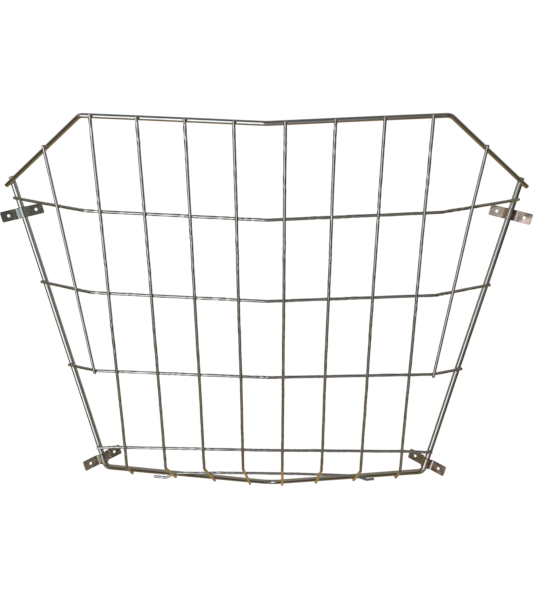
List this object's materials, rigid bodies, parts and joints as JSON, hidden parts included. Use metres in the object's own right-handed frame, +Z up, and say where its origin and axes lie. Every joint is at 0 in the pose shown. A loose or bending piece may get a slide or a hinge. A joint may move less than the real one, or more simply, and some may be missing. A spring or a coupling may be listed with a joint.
{
  "type": "corner wire basket",
  "caption": "Corner basket of welded zinc-plated wire with a sloping wire floor; saddle clips turn on the side rods to screw it to two walls.",
  "frame": {"origin": "on the line where the two walls meet, level with the hoop's lowest bend", "axes": "+X width to the right as seen from the room, +Y back into the wall corner, +Z up"},
  "size_m": [0.7406, 0.4985, 0.5433],
  "materials": {
    "rod_zinc": "bright zinc plating",
    "wire_zinc": "bright zinc plating with straightener marks",
    "clip_zinc": "yellow-passivated zinc plating"
  },
  "bodies": {
    "frame": {"frame_hoop": "rod_zinc", "top_rail": "rod_zinc", "cross_wire_1": "wire_zinc", "cross_wire_2": "wire_zinc", "cross_wire_3": "wire_zinc", "cross_wire_4": "wire_zinc", "cross_wire_5": "wire_zinc", "bar_wire_01": "wire_zinc", "bar_wire_02": "wire_zinc", "bar_wire_03": "wire_zinc", "bar_wire_04": "wire_zinc", "bar_wire_05": "wire_zinc", "bar_wire_06": "wire_zinc", "bar_wire_07": "wire_zinc", "bar_wire_08": "wire_zinc", "bar_wire_09": "wire_zinc", "bar_wire_10": "wire_zinc"},
    "clip_top_left": {"clip_top_left": "clip_zinc"},
    "clip_bottom_left": {"clip_bottom_left": "clip_zinc"},
    "clip_top_right": {"clip_top_right": "clip_zinc"},
    "clip_bottom_right": {"clip_bottom_right": "clip_zinc"}
  },
  "joints": [
    {"name": "clip_top_left_turn", "type": "hinge", "parent": "frame", "child": "clip_top_left", "pos_m": [-0.34389, -0.34389, 0.44421], "axis": [-0.2541, -0.2541, 0.9332], "range_deg": [-53, 67]},
    {"name": "clip_bottom_left_turn", "type": "hinge", "parent": "frame", "child": "clip_bottom_left", "pos_m": [-0.24576, -0.24576, 0.08381], "axis": [-0.2541, -0.2541, 0.9332], "range_deg": [-53, 67]},
    {"name": "clip_top_right_turn", "type": "hinge", "parent": "frame", "child": "clip_top_right", "pos_m": [0.34389, -0.34389, 0.44421], "axis": [-0.2541, 0.2541, -0.9332], "range_deg": [-53, 67]},
    {"name": "clip_bottom_right_turn", "type": "hinge", "parent": "frame", "child": "clip_bottom_right", "pos_m": [0.24576, -0.24576, 0.08381], "axis": [-0.2541, 0.2541, -0.9332], "range_deg": [-53, 67]}
  ]
}
